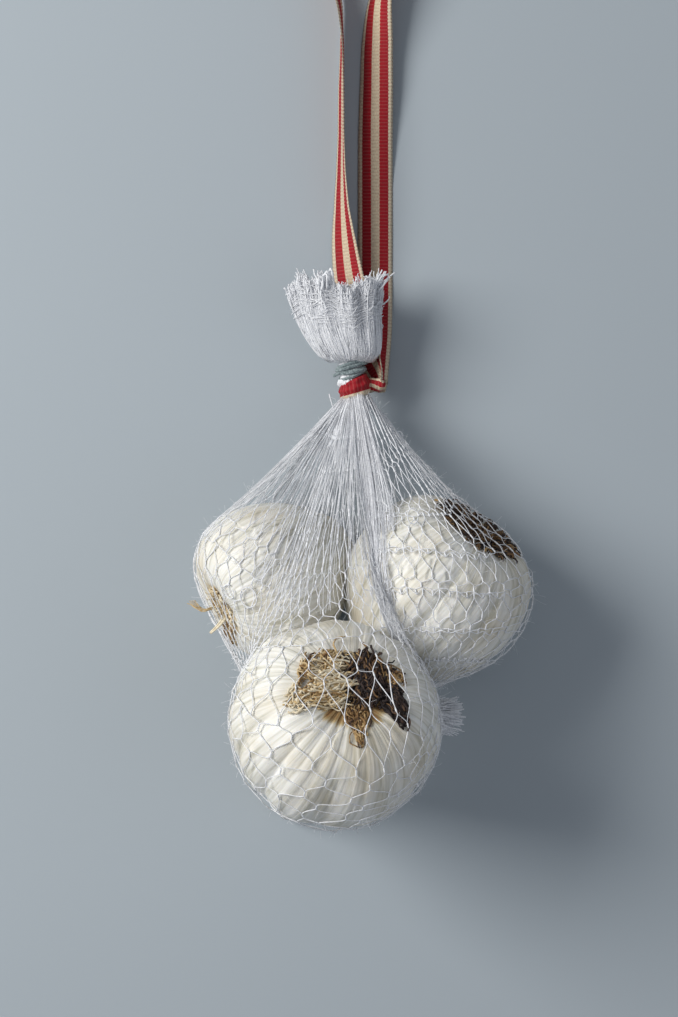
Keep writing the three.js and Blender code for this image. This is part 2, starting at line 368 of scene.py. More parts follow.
def papery_garlic_skin():
    """Dry outer leaf sheaths of garlic: matt, faintly silky white paper with fine veins that
    run from the root to the stem, warmer where it is thin, and brown by the roots, where the
    brown is partly the root plate's own and partly painted shade under and between the roots."""
    material, tree = new_material("papery_garlic_skin")
    skin = add(tree, "Attribute", attribute_name="skin").outputs["Vector"]
    drawn_out = add(tree, "Mapping", {"Vector": skin, "Scale": (1.0, 1.0, 0.07)})
    veins = add(tree, "TexNoise", {"Vector": drawn_out, "Scale": 0.75, "Detail": 3.0,
                                   "Roughness": 0.55})
    fine = add(tree, "TexNoise", {"Vector": drawn_out, "Scale": 2.6, "Detail": 2.0})
    clouds = add(tree, "TexNoise", {"Vector": skin, "Scale": 0.055, "Detail": 3.0})
    base = add(tree, "ValToRGB", {"Fac": veins}, stops=[
        (0.34, "#c9c7ba"), (0.44, "#dddbd2"), (0.58, "#e9e8e3"), (0.74, "#f1f0ed")])
    warm = add(tree, "ValToRGB", {"Fac": clouds}, stops=[(0.45, "#ffffff"), (0.72, "#ece3d2")])
    tinted = add(tree, "MixRGB", {"Fac": 0.85, "Color1": base, "Color2": warm},
                 blend_type="MULTIPLY")
    # The brown over the root end is partly the root plate's own colour and partly painted shade
    # under and between the roots
    stain_and_shade = add(tree, "Attribute", attribute_name="stain_and_shade").outputs["Fac"]
    patchy = add(tree, "Math", {0: veins, 1: 0.35}, operation="SUBTRACT")
    spread = add(tree, "Math", {0: patchy, 1: 0.9, 2: stain_and_shade}, operation="MULTIPLY_ADD")
    browned_and_shaded = add(tree, "ValToRGB", {"Fac": spread}, stops=[
        (0.30, "#ffffff"), (0.55, "#d9c49a"), (0.80, "#a37a48"), (1.0, "#4b3322")])
    whole = add(tree, "MixRGB", {"Fac": 1.0, "Color1": tinted, "Color2": browned_and_shaded},
                blend_type="MULTIPLY")
    vein_bump = add(tree, "Bump", {"Height": veins, "Distance": 0.35 * MM, "Strength": 0.55})
    fibre_bump = add(tree, "Bump", {"Height": fine, "Distance": 0.10 * MM, "Strength": 0.5,
                                    "Normal": vein_bump})
    return surfaced(material, {
        "Base Color": whole, "Roughness": 0.5, "IOR": 1.45,
        "Subsurface Weight": 0.10, "Subsurface Radius": (1.0, 0.8, 0.55),
        "Subsurface Scale": 1.2 * MM, "Sheen Weight": 0.12, "Sheen Roughness": 0.5,
        "Normal": fibre_bump})


def knitted_net_thread():
    """Fine white textured nylon: soft and matt, with fibres of an uneven white."""
    material, tree = new_material("knitted_net_thread")
    fibres, relief = fine_fibres(tree, 2.2, 2.0, depth=0.08, strength=0.5)
    tint = add(tree, "ValToRGB", {"Fac": fibres}, stops=[(0.30, "#d6d9e0"), (0.65, "#f1f2f5")])
    return surfaced(material, {
        "Base Color": tint, "Roughness": 0.7, "Sheen Weight": 0.35,
        "Sheen Roughness": 0.4, "Normal": relief})


def dry_root_fibre():
    """Dried garlic roots: straw to dark brown, matt and brittle; shade runs from 0 to 1. Its
    darkest end, near black, also serves as painted shade for roots that lie in shadow.
    """
    material, tree = new_material("dry_root_fibre")
    grain, relief = fine_fibres(tree, 1.2, 2.0, depth=0.12, strength=0.6)
    shade = add(tree, "Attribute", attribute_name="shade").outputs["Fac"]
    uneven = add(tree, "Math", {0: grain, 1: 0.5}, operation="SUBTRACT")
    toned = add(tree, "Math", {0: uneven, 1: 0.5, 2: shade}, operation="MULTIPLY_ADD")
    tint = add(tree, "ValToRGB", {"Fac": toned}, stops=[
        (0.0, "#e6dcc4"), (0.25, "#c2a777"), (0.5, "#8a683f"), (0.75, "#43312a"),
        (1.0, "#1b1314")])
    return surfaced(material, {"Base Color": tint, "Roughness": 0.75, "Normal": relief})


def cotton_twine():
    """Grey-blue three-ply cotton twine: soft, hairy and quite matt."""
    material, tree = new_material("cotton_twine")
    fibres, relief = fine_fibres(tree, 1.6, 3.0, depth=0.15, strength=0.7)
    tint = add(tree, "ValToRGB", {"Fac": fibres}, stops=[
        (0.30, "#5b686b"), (0.55, "#7f8d90"), (0.75, "#aab5b6")])
    return surfaced(material, {
        "Base Color": tint, "Roughness": 0.85, "Sheen Weight": 0.3, "Normal": relief})


def grosgrain_ribbon():
    """Woven grosgrain ribbon: matt cotton with ribs across it and red stripes along it, whose
    weft shows pale between the ribs."""
    material, tree = new_material("grosgrain_ribbon")
    weave = add(tree, "Attribute", attribute_name="weave").outputs["Vector"]
    parts = add(tree, "SeparateXYZ", {"Vector": weave})
    rib = add(tree, "Math", {0: parts.outputs["Y"], 1: TURN / RIB_SPACING}, operation="MULTIPLY")
    wave = add(tree, "Math", {0: rib}, operation="COSINE")
    away = add(tree, "Math", {0: parts.outputs["X"]}, operation="ABSOLUTE")
    edge = add(tree, "Math", {0: wave, 1: 0.006, 2: away}, operation="MULTIPLY_ADD")
    stripes = add(tree, "ValToRGB", {"Fac": edge}, stops=[
        (0.117, "#d6c6aa"), (0.127, "#a90f20"), (0.373, "#970d1c"), (0.385, "#d9cab0")])
    groove = add(tree, "MapRange", {"Value": wave, "From Min": -1.0, "From Max": -0.3,
                                    "To Min": 0.30, "To Max": 0.0})
    yarn = add(tree, "Mapping", {"Vector": weave, "Scale": (40.0, 1.2, 0.0)})
    yarns = add(tree, "TexNoise", {"Vector": yarn, "Scale": 1.0, "Detail": 2.0})
    woven = add(tree, "MixRGB", {"Fac": groove, "Color1": stripes, "Color2": colour("#b06a64")})
    toned = add(tree, "ValToRGB", {"Fac": yarns}, stops=[(0.3, "#d8d8d8"), (0.7, "#ffffff")])
    whole = add(tree, "MixRGB", {"Fac": 1.0, "Color1": woven, "Color2": toned},
                blend_type="MULTIPLY")
    bump = add(tree, "Bump", {"Height": yarns, "Distance": 0.10 * MM, "Strength": 0.6})
    return surfaced(material, {
        "Base Color": whole, "Roughness": 0.75, "Sheen Weight": 0.08,
        "Sheen Roughness": 0.4, "Specular IOR Level": 0.3, "Normal": bump})


def painted_floor():
    """A plain pale painted board."""
    material, _ = new_material("painted_floor")
    return surfaced(material, {
        "Base Color": colour("#a9b2b9"), "Roughness": 0.9, "Specular IOR Level": 0.2})


SKIN = papery_garlic_skin()
NET = knitted_net_thread()
ROOTS = dry_root_fibre()
TWINE = cotton_twine()
RIBBON = grosgrain_ribbon()

skin_finish = dict(material=SKIN, slot="garlic_skin", replaces="net_bag")
net_finish = dict(material=NET, slot="net_thread", replaces="net_bag")
root_finish = dict(material=ROOTS, slot="root_fibre", replaces="net_bag")
ribbon_finish = dict(material=RIBBON, slot="ribbon")


# ---- camera ----

CAMERA_AT = np.array((-7.1, 11.1, 716.0))


def add_camera():
    """Straight above the bag, its neck towards the top of the view."""
    data = bpy.data.cameras.new("camera")
    data.lens = 85
    data.sensor_fit = "VERTICAL"
    data.sensor_height = 36
    data.clip_start = 0.01
    camera = new_object("camera", data)
    camera.location = (CAMERA_AT + SHIFT) * MM
    bpy.context.scene.camera = camera


add_camera()


# ---- the ribbon, a free cord from the neck up and back ----

def ribbon_frames(count):
    """Equally spaced points of the ribbon's middle line, with the directions across its width
    and through it: the width turns from level, about the way ahead, by the route's angle."""
    route = np.array(RIBBON_ROUTE, float)
    turns = np.radians(route[:, 3])
    middle = route[:, :3].copy()
    middle[:, 2] += (RIBBON_WIDTH * np.abs(np.sin(turns)) + RIBBON_THICKNESS) / 2
    steps = 40
    line = spline(middle, steps, power=0.5)
    turn = np.interp(np.arange(len(line)) / steps, np.arange(len(turns)), turns)
    both = evenly(np.column_stack([line, turn]), count, measure=line)
    line, turn = both[:, :3], both[:, 3:]
    ahead = unit(np.gradient(line, axis=0))
    level = unit(np.cross(ahead, (0.0, 0.0, 1.0)))
    normal = np.cross(level, ahead)
    across = level * np.cos(turn) + normal * np.sin(turn)
    return line, across, np.cross(ahead, across)


def ribbon_skin(name, line, across, through, crown, width, **finish):
    """A woven band carried along a line. Its section is a flat oval bent to an arc: a point at x
    across lies crown(1 - (2x)^2) off the line. Each rib swells both faces by a cosine."""
    travelled = lengths_along(line)
    flat = np.linspace(-0.5, 0.5, 15)
    x = np.concatenate([flat, flat[-2:0:-1]])
    face = np.concatenate([np.ones(15), -np.ones(13)])
    edge = np.sqrt(np.clip(1 - np.abs(2 * x) ** 6, 0, 1))
    rib = np.cos(travelled * TURN / RIB_SPACING)[:, None]
    thick = 0.22 + 0.075 * rib
    bend = crown[:, None] * (1 - (2 * x) ** 2)
    off = face * edge * thick + bend - crown[:, None] * 0.5
    wide = x * width[:, None] * (1 + 0.006 * rib)
    rings = line[:, None] + across[:, None] * wide[..., None] - through[:, None] * off[..., None]
    weave = np.stack(np.broadcast_arrays(x, travelled[:, None], 0.0), -1)
    return rings_mesh(name, rings, fields={"weave": weave}, **ribbon_finish, **finish)


def make_ribbon():
    line, across, through = ribbon_frames(RIBBON_STEPS)
    travelled = lengths_along(line)
    length = travelled[-1]
    near = np.exp(-(travelled / 16) ** 2) + np.exp(-((length - travelled) / 12) ** 2)
    crown = 0.7 + 1.2 * near
    width = RIBBON_WIDTH * (0.985 - 0.12 * near)
    ribbon = ribbon_skin("hanging_ribbon", line, across, through, crown, width,
                         replaces="ribbon_loop")


make_ribbon()


# ---- floor and light ----

def add_floor():
    """A large flat board that the bag lies on."""
    half = 3.0
    mesh = bpy.data.meshes.new("floor")
    mesh.from_pydata([(-half, -half, 0), (half, -half, 0), (half, half, 0), (-half, half, 0)],
                     [], [(0, 1, 2, 3)])
    mesh.materials.append(painted_floor())
    new_object("floor", mesh)


def add_light(name, at, size, power, tint="#ffffff"):
    """A square soft light, at a place in metres, that looks at the bag."""
    data = bpy.data.lights.new(name, "AREA")
    data.size = size
    data.energy = power
    data.color = colour(tint)[:3]
    light = new_object(name, data)
    light.location = at
    light.rotation_euler = (Vector((0, 0, 0.03)) - Vector(at)).to_track_quat("-Z", "Y").to_euler()


def light_the_scene():
    add_light("window", (-0.75, 0.28, 0.62), 0.55, 11.0, "#fdfbf7")
    add_light("bounce", (0.8, -0.2, 0.7), 0.9, 1.7, "#eef2fa")
    world = bpy.data.worlds.new("room")
    world.use_nodes = True
    world.node_tree.nodes["Background"].inputs["Color"].default_value = colour("#dfe5ee")
    world.node_tree.nodes["Background"].inputs["Strength"].default_value = 0.28
    bpy.context.scene.world = world
    bpy.context.scene.view_settings.view_transform = "Standard"


add_floor()
light_the_scene()


# ---- bulbs ----

def ready_bulb(bulb):
    """A bulb's numbers as arrays, with the turn that takes +Y to its root direction and the
    distance from its centre to its skin by the angle from its root direction."""
    root = unit(np.array(bulb["root"]))
    turned = np.array(Vector((0, 1, 0)).rotation_difference(Vector(root)).to_matrix())
    body = spline(OUTLINE, 24)
    body = body[body[:, 0] > -1.2]
    angle = np.arctan2(body[:, 1], body[:, 0])
    order = np.argsort(angle)
    right = unit(np.array((1.0, 0.0, 0.0)) - root[0] * root)
    return dict(
        bulb, centre=np.array(bulb["centre"]), root=root, turned=turned,
        reach_angle=angle[order], reach=np.hypot(*body.T)[order] * bulb["radius"],
        right=right, upward=np.cross(root, right),
    )


bulbs = {name: ready_bulb(bulb) for name, bulb in BULBS.items()}


def bulb_outline(stem, rows):
    """The outline at equal steps: the curve through OUTLINE, then a blunt round stem tip."""
    body = spline(OUTLINE, 24)
    body = body[body[:, 0] > STEM_TIP_ROUND - stem]
    round_off = np.linspace(0, np.pi / 2, 8)
    tip = np.column_stack([
        -stem + STEM_TIP_ROUND * (1 - np.sin(round_off)), STEM_TIP_RADIUS * np.cos(round_off)])
    whole = evenly(np.vstack([body, tip]), rows)
    whole[0, 1] = whole[-1, 1] = 0.004
    return whole


def wander(rng, angle, along, count, turns_range, beyond):
    """Smooth seeded unevenness, about -1 to 1: a sum of waves with a whole number of turns round
    the bulb and any number along it."""
    total = np.zeros(np.broadcast(angle, along).shape)
    for _ in range(count):
        turns = rng.integers(turns_range[0], turns_range[1] + 1)
        total += np.sin(turns * angle + rng.uniform(-beyond, beyond) * along
                        + rng.uniform(0, TURN))
    return total / np.sqrt(count)


def make_bulb(name, bulb, rows=200, columns=448):
    """The turned outline, pressed in along the valleys between cloves, then raised along its
    normals by veins, creases and the torn edges of loose outer skins."""
    rng = np.random.default_rng(bulb["seed"])
    outline = bulb_outline(bulb["stem"], rows)
    along, out = outline[:, :1], outline[:, 1:]
    local_angle = np.arange(columns) / columns * TURN
    angle = local_angle + bulb["turn"]
    uneven = angle + UNEVEN * np.sin(2 * angle + bulb["turn"])
    valley = (1 - np.abs(np.cos(bulb["cloves"] * uneven / 2))) ** 1.5
    body = smoothstep(along, -1.25, -0.3) * (1 - smoothstep(along, 0.45, 0.8))
    wide = out * (1 - VALLEY_DEPTH * valley * body)
    local = np.stack(np.broadcast_arrays(
        wide * np.cos(local_angle), along, wide * np.sin(local_angle)), -1) * bulb["radius"]
    skin = local @ bulb["turned"].T + bulb["centre"]
    forward = np.gradient(skin, axis=0)
    sideways = np.roll(skin, -1, 1) - np.roll(skin, 1, 1)
    normal = unit(np.cross(sideways, forward))
    normal *= np.sign(np.sum(normal * (skin - bulb["centre"]), -1, keepdims=True).mean())

    lean = angle + 0.10 * along + 0.02 * wander(rng, angle, along, 5, (2, 6), 3)
    veins = np.abs(np.sin(VEINS * lean)) ** 0.7 - 0.6
    creases = wander(rng, lean, along, 9, (14, 34), 2.0)
    dents = wander(rng, angle, along, 8, (2, 7), 4.0)
    relief = VEIN_HEIGHT * veins + CREASE_HEIGHT * creases + DENT_DEPTH * dents
    for _ in range(TORN_SKINS):
        start = rng.uniform(0, TURN)
        width = rng.uniform(0.7, 1.3)
        top = rng.uniform(0.15, 0.5)
        off = angle_from(start, angle)
        torn = wander(rng, angle, along, 6, (9, 31), 9.0)
        inside = np.minimum(width - np.abs(off) + 0.05 * torn, (top - along) + 0.06 * torn)
        relief += TORN_SKIN_STEP * smoothstep(inside, -0.012, 0.012)
        relief += TORN_EDGE_CURL * np.exp(-(inside / 0.03) ** 2) * (inside > -0.01)
    wrinkles = np.abs(np.sin(5.5 * angle + 2.5 * along))
    relief -= STEM_WRINKLE_DEPTH * smoothstep(-along, 1.1, 1.4) * wrinkles
    fade = smoothstep(out, 0.03, 0.24) * np.ones_like(angle)
    skin = lifted(skin + normal * (relief * fade)[..., None], 0.05)

    # The brown root-end mark: the root plate's own brown, darkened further as painted shade under
    # and between the roots; the beige at the stem end is the skin's own
    rim = 0.36 + 0.03 * wander(rng, angle, along, 6, (5, 23), 2.0)
    root_plate_brown_and_shade = smoothstep(along, 0.5, 0.72) * (1 - smoothstep(out, rim - 0.06, rim + 0.09))
    stem_end = smoothstep(-along, 1.02, 1.3)
    stain_and_shade = np.maximum(root_plate_brown_and_shade * bulb["root_brown_and_shade"], 0.24 * stem_end) + 0 * angle
    travelled = lengths_along(outline)[:, None] * bulb["radius"]
    around_skin = np.stack(np.broadcast_arrays(
        np.cos(lean) * bulb["radius"], np.sin(lean) * bulb["radius"], travelled), -1)
    return rings_mesh(f"bulb_{name}", skin, fields={"skin": around_skin, "stain_and_shade": stain_and_shade},
                      **skin_finish)


for bulb_name, bulb in bulbs.items():
    make_bulb(bulb_name, bulb)


# ---- the net, drawn tight over the bulbs by a simulation of its threads ----

NET_ROWS = 28
NET_COLUMNS = 72
NET_ANGLES = 1441             # angles at which the columns' density is added up
NET_REST = 6.2                # length of a slack mesh side
NET_STEPS = 1500
NET_SLACK_PULL = 0.06         # the pull that a slack thread keeps
NET_STEP_SHARE = 0.9          # the part of its way that a knot goes in a step
NET_STEP_MOST = 2.0
NET_MIDDLE = np.array((0.0, -30.0, 36.0))
NET_GATHER = np.array((11.0, -47.5, 27.5))
NET_GATHER_LINE = unit(np.array((19.5, -2.0, -9.0)))
NET_NECK = np.array((-2.1, 44.6, 11.8))
NET_END_RADII = (3.4, 3.2)    # at the neck and at the gather
NET_START_RADIUS = 92.0       # the net is blown up to this before it shrinks
THREAD_RADIUS = 0.132
KNOT_HALF = 0.55
ROOT_PILE_ANGLES = (0.45, 0.72)   # where a bulb's pile of roots ends, from its root direction
NECK_LINE = unit(NECK_TOP - NECK_FOOT)
NECK_LENGTH = np.linalg.norm(NECK_TOP - NECK_FOOT)


def off_the_bulbs(points, gap):
    """Points moved straight out from a bulb's centre to its skin and a gap, from its stem's
    axis to the stem's side, and up from the floor."""
    shape = points.shape
    points = points.reshape(-1, 3)
    for bulb in bulbs.values():
        radius = bulb["radius"]
        away = points - bulb["centre"]
        along = away @ bulb["root"]
        out = np.linalg.norm(away - along[:, None] * bulb["root"], axis=1) + 1e-9
        far = np.hypot(along, out)
        angle = np.arctan2(out, along)
        pile = bulb["pile"] * (1 - smoothstep(angle, *ROOT_PILE_ANGLES))
        want = np.interp(angle, bulb["reach_angle"], bulb["reach"]) + gap + pile
        grow = np.where(far < want, want / np.maximum(far, 1e-6), 1.0)
        points = bulb["centre"] + away * grow[:, None]
        away = points - bulb["centre"]
        along = away @ bulb["root"]
        beside = away - along[:, None] * bulb["root"]
        out = np.linalg.norm(beside, axis=1) + 1e-9
        stem = STEM_TIP_RADIUS * radius * 1.15 + gap
        on_stem = (along < -radius) & (along > -bulb["stem"] * radius) & (out < stem)
        grow = np.where(on_stem, stem / out, 1.0)
        points = points + beside * (grow - 1)[:, None]
    return lifted(points, 0.3).reshape(shape)


def about(angle, middle, width):
    """A smooth bump, 1 at a middle and near 0 beyond a width from it, both in degrees."""
    return np.exp(-(angle_from(np.radians(middle), angle) / np.radians(width)) ** 2)


def between(angle, low, high):
    """1 between two angles in degrees, with soft ends."""
    off = np.abs(angle_from(np.radians((low + high) / 2), angle))
    return 1 / (1 + np.exp((off - np.radians((high - low) / 2)) / np.radians(6)))


def net_ring(centre, line, radius, angle, right, up):
    """Points of a circle about a line, at the net's own angles."""
    one = unit(right - (right @ line) * line)
    two = up - (up @ line) * line
    two = unit(two - (two @ one) * one)
    return centre + radius * around(angle, one, two)


def net_angle(column):
    """Where a column lies round the net: columns crowd in front and thin out over the side
    bulbs. The angle is the inverse of the running total of that density."""
    fine = np.linspace(0, TURN, NET_ANGLES)
    density = 1 + 1.9 * between(fine, 80, 155) + 0.3 * between(fine, 155, 235)
    density -= 0.5 * between(fine, -25, 75)
    total = np.concatenate([[0], np.cumsum((density[1:] + density[:-1]) / 2)])
    return np.interp(column % NET_COLUMNS, total / total[-1] * NET_COLUMNS, fine)


def linked_columns(row, column):
    """The columns of the two knots, in the row before or after, that a knot is tied to."""
    odd = row % 2 == 1
    return (np.where(odd, column, (column - 1) % NET_COLUMNS),
            np.where(odd, (column + 1) % NET_COLUMNS, column))


def pull_the_net():
    """Knots (rows, columns, 3), and the columns of each one's neighbours in the next row and in
    the one before. Every knot moves to the mean of its four neighbours, weighted by the pull of
    each thread, 1 - rest/length, and is then pushed off the bulbs."""
    row, column = np.meshgrid(np.arange(NET_ROWS + 1), np.arange(NET_COLUMNS), indexing="ij")
    angle = net_angle(column + 0.5 * (row % 2))
    start = unit(NET_NECK - NET_MIDDLE)
    end = unit(NET_GATHER - NET_MIDDLE)
    pole = unit(end - start)
    right = unit(np.array((1.0, 0, 0)) - pole[0] * pole)
    up = np.cross(pole, right)
    up *= np.sign(up[2])
    v = (row / NET_ROWS)[..., None]
    spoke = around(angle, right, up)
    way = unit((1 - v) ** 2 * start + 5.2 * v * (1 - v) * spoke + v**2 * end)
    knots = NET_MIDDLE + NET_START_RADIUS * way
    knots[0] = net_ring(NET_NECK, NECK_LINE, NET_END_RADII[0], angle[0], right, up)
    knots[-1] = net_ring(NET_GATHER, NET_GATHER_LINE, NET_END_RADII[1], angle[-1], right, up)

    next_one, next_two = linked_columns(row[:-1], column[:-1])
    last_one, last_two = linked_columns(row[1:], column[1:])
    rows = row[:-1]

    def stiffness(angle):
        """The dense strip and the front pull harder; over the right bulb the net is slacker,
        and in every four rows two are tight, so that flat meshes alternate with tall ones."""
        side = between(angle, -20, 75)
        tight_row = 1 + 8 * np.isin(rows % 4, (1, 2)) * side
        return (1 + 8 * about(angle, 84, 8)) * (1 + 0.5 * between(angle, 105, 215)) * (
            1 - 0.4 * side) * tight_row

    half_column = np.pi / NET_COLUMNS / 2
    stiff_one = stiffness(angle[:-1] - half_column)
    stiff_two = stiffness(angle[:-1] + half_column)

    def pulled(towards, stiff):
        """Each thread's force on its upper knot, and its weight there."""
        way = knots[rows + 1, towards] - knots[:-1]
        long = np.maximum(np.linalg.norm(way, axis=-1), 1e-6)
        pull = stiff * (NET_SLACK_PULL + np.clip(1 - NET_REST / long, 0, 1))
        return way * pull[..., None], pull

    for _ in range(NET_STEPS):
        force_one, pull_one = pulled(next_one, stiff_one)
        force_two, pull_two = pulled(next_two, stiff_two)
        total = np.zeros_like(knots)
        weight = np.zeros(knots.shape[:2])
        total[:-1] += force_one + force_two
        weight[:-1] += pull_one + pull_two
        total[1:] -= force_two[rows, last_one] + force_one[rows, last_two]
        weight[1:] += pull_two[rows, last_one] + pull_one[rows, last_two]
        step = NET_STEP_SHARE * total / weight[..., None]
        size = np.linalg.norm(step, axis=-1, keepdims=True)
        step *= np.minimum(1, NET_STEP_MOST / np.maximum(size, 1e-9))
        knots[1:-1] = off_the_bulbs(knots + step, gap=0.6)[1:-1]
    return knots, next_one, next_two, last_one, last_two


def make_net():
    """Threads from knot to knot: each leaves and meets its knots along their own direction, a
    Hermite cubic between them, kept off the bulbs; each knot is a short twisted spindle."""
    knots, next_one, next_two, last_one, last_two = pull_the_net()
    rows = np.arange(NET_ROWS)[:, None]
    heading = np.zeros_like(knots)
    after = knots[rows + 1, next_one] + knots[rows + 1, next_two]
    before = knots[rows, last_one] + knots[rows, last_two]
    heading[:-1] += after / 2 - knots[:-1]
    heading[1:] += knots[1:] - before / 2
    heading = unit(heading)
    half = np.full(knots.shape[:2], KNOT_HALF)
    half[0] = half[-1] = 0.0

    t = np.linspace(0, 1, 11)[:, None]
    lines = []
    for chosen in (next_one, next_two):
        begin = knots[:-1] + heading[:-1] * half[:-1][..., None]
        way = heading[rows + 1, chosen]
        finish = knots[rows + 1, chosen] - way * half[rows + 1, chosen][..., None]
        reach = np.linalg.norm(finish - begin, axis=-1)[..., None, None]
        leave = heading[:-1][..., None, :] * reach * 0.7
        arrive = way[..., None, :] * reach * 0.7
        line = hermite(t, begin[..., None, :], leave, finish[..., None, :], arrive)
        lines.append(line.reshape(-1, len(t), 3))
    lines = np.concatenate(lines)
    rng = np.random.default_rng(21)
    slack = np.sin(np.pi * t) * rng.normal(0, 0.22, (len(lines), 1, 3))
    lines = off_the_bulbs(lines + slack, gap=0.25)
    thickness = THREAD_RADIUS * rng.uniform(0.72, 1.15, (len(lines), 1)) * np.ones(len(t))
    for part, some in enumerate(np.array_split(np.arange(len(lines)), 3)):
        threads_mesh(f"net_threads_{part + 1}", lines[some], thickness[some], sides=5,
                     plies=0.25, twist=2.4, **net_finish)

    inner = knots[1:-1].reshape(-1, 1, 3)
    way = heading[1:-1].reshape(-1, 1, 3)
    t = np.linspace(-1, 1, 6)[:, None]
    spindles = off_the_bulbs(inner + way * t * (KNOT_HALF + 0.25), gap=0.38)
    bulge = THREAD_RADIUS * (0.9 + 0.9 * np.sqrt(np.clip(1 - t[:, 0] ** 2, 0, 1)))
    threads_mesh("net_knots", spindles, bulge, sides=6, plies=0.2, twist=2.0, **net_finish)
    return knots, lines


net_knots, net_lines = make_net()


def net_at(row, degrees):
    """Points of the net's surface in a row, at angles round the net, between its knots."""
    angle = np.radians(np.asarray(degrees, float))
    fine = np.linspace(0, NET_COLUMNS, NET_ANGLES)
    column = np.interp(angle % TURN, net_angle(fine[:-1]), fine[:-1]) - 0.5 * (row % 2)
    low = np.floor(column).astype(int)
    part = (column - low)[:, None]
    return (net_knots[row, low % NET_COLUMNS] * (1 - part)
            + net_knots[row, (low + 1) % NET_COLUMNS] * part)


def make_fine_threads(name, seed, count, low, high, rows, radius):
    """Where the net lies doubled or drawn together: fine threads side by side from the neck,
    between two angles, each a smooth curve through the net's surface at its own angle."""
    rng = np.random.default_rng(seed)
    degrees = rng.uniform(low, high, count)
    through = np.stack([net_at(row, degrees + rng.normal(0, 0.5, count))
                        for row in range(rows)], axis=1)
    lines = [evenly(spline(one, 6), 4 * rows - 14) for one in smoothed(through, 2)]
    lines = off_the_bulbs(np.stack(lines) + rng.normal(0, 0.35, (count, 1, 3)), gap=0.55)
    threads_mesh(name, lines, radius, sides=4, **net_finish)


make_fine_threads("net_doubled_strip", 31, 100, 71, 100, NET_ROWS - 2, 0.075)
make_fine_threads("net_drawn_cone", 32, 260, 60, 205, 9, 0.065)


# ---- the neck and the frayed tuft ----

def tuft_ring(up, angle, scale=1.0):
    """The tuft's skin at a height (0 at the neck, 1 at its rim) and an angle: an oval cup
    whose width grows like a low power of a sine, with pleats that deepen towards a ragged
    rim."""
    flare = np.sin(np.clip((up + 0.1) / 1.1, 0, 1) * np.pi / 2) ** 0.27
    pleat = 1 + np.clip(up, 0, 1.2) * (
        0.10 * np.sin(TUFT_PLEATS * angle) + 0.05 * np.sin(17 * angle + 1.3)
        + 0.025 * np.sin(31 * angle + 0.4))
    ragged = up * (1.5 * np.sin(3 * angle + 0.8) + 1.1 * np.sin(7 * angle + 2.1)
                   + 0.5 * np.sin(19 * angle))
    centre = NECK_TOP + (TUFT_TOP - NECK_TOP) * np.asarray(up)[..., None]
    centre[..., 0] -= np.sin(np.clip(up, 0, 1) * np.pi)
    wide = scale * pleat * (NECK_RADIUS + (TUFT_HALF_WIDTH - NECK_RADIUS) * flare)
    deep = scale * pleat * (NECK_RADIUS + (TUFT_HALF_DEPTH - NECK_RADIUS) * flare)
    return centre + np.stack(
        [wide * np.cos(angle), ragged * scale, deep * np.sin(angle)], -1)


def make_gathers():
    """The net drawn together: a pleated column from inside the cone up through the ties."""
    angle = np.arange(180) / 180 * TURN
    up = np.linspace(-0.55, 1.12, 36)[:, None]
    pleat = 1 + 0.05 * np.sin(26 * angle + 3 * up) + 0.03 * np.sin(41 * angle)
    radius = NECK_TIED * pleat * (1 - 0.25 * smoothstep(-up, 0.2, 0.6))
    # a knob of slack net bulges out at the left between the ties
    knob = np.exp(-((up - 0.43) / 0.10) ** 2) * np.exp(2.2 * (np.cos(angle - 2.75) - 1))
    radius = radius + knob * (1.9 + 0.35 * np.sin(9 * angle + 20 * up))
    ring = around(angle, *axes_about(NECK_LINE))
    rings_mesh("gathered_neck", along_neck(up[..., None]) + radius[..., None] * ring,
               **net_finish)


def make_tuft():
    """A pleated flare, open at its rim and folded in on itself."""
    angle = np.arange(264) / 264 * TURN
    outside = -0.1 + 1.03 * np.linspace(0, 1, 40) ** 1.7
    inside = np.linspace(0.93, 0.25, 14)
    outer = [tuft_ring(up * np.ones_like(angle), angle, 0.90) for up in outside]
    inner = [tuft_ring(up * np.ones_like(angle), angle, 0.86 - 0.84 * (1 - up) ** 0.7)
             for up in inside]
    rings_mesh("net_tuft", np.stack(outer + inner), **net_finish)


def make_tuft_threads():
    """Threads that lie on the tuft's skin from the neck to its rim and fray past it."""
    rng = np.random.default_rng(41)
    count, steps = 1150, 12
    t = np.linspace(0, 1, steps)
    angle = rng.uniform(0, TURN, count)[:, None]
    begin = np.maximum(rng.uniform(-0.35, 0.55, count), -0.09)[:, None]
    end = rng.uniform(0.76, 1.02, count)[:, None]
    up = begin + (end - begin) * t
    sway = angle + rng.normal(0, 0.10, (count, 1)) * t + rng.normal(0, 0.02, (count, 1)) * np.sin(
        rng.uniform(4, 12, (count, 1)) * t)
    lift = 0.92 + rng.uniform(0, 0.05, (count, 1)) + 0.04 * t**2 * rng.normal(0, 1, (count, 1))
    lines = lifted(tuft_ring(up, sway, lift), 0.5)
    threads_mesh("tuft_threads", lines, rng.uniform(0.09, 0.18, (count, 1)), sides=4,
                 **net_finish)


